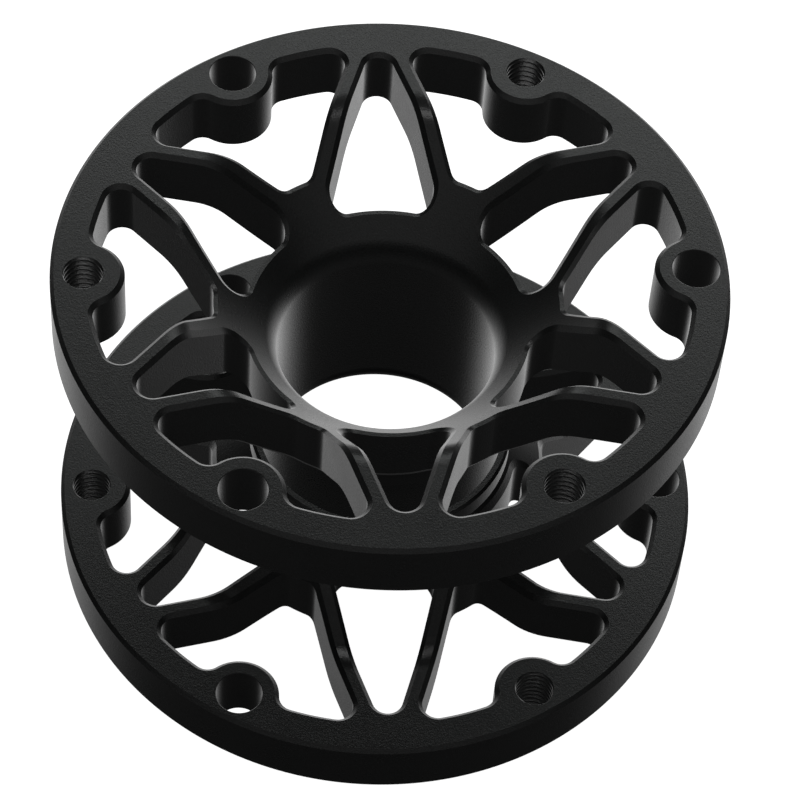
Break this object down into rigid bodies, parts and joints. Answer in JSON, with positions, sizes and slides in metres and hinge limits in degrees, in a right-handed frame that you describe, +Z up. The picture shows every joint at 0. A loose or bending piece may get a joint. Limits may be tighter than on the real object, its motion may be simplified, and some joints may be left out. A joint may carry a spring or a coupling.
{
  "type": "winch drum",
  "caption": "Winch drum spool: dished spoked flanges pressed on a short sleeve with a flared open bore and alternate clearance and tapped rim holes.",
  "frame": {"origin": "centre of the lower outer face, on the spool axis", "axes": "+Z up along the spool axis, +X through a clearance hole of both rims"},
  "size_m": [0.118, 0.118, 0.075],
  "materials": {
    "flange_anodised": "fine bead-blasted black anodised",
    "sleeve_anodised": "fine turned black anodised"
  },
  "bodies": {
    "root": {"flange_upper": "flange_anodised", "flange_lower": "flange_anodised", "barrel_sleeve": "sleeve_anodised"}
  },
  "joints": []
}
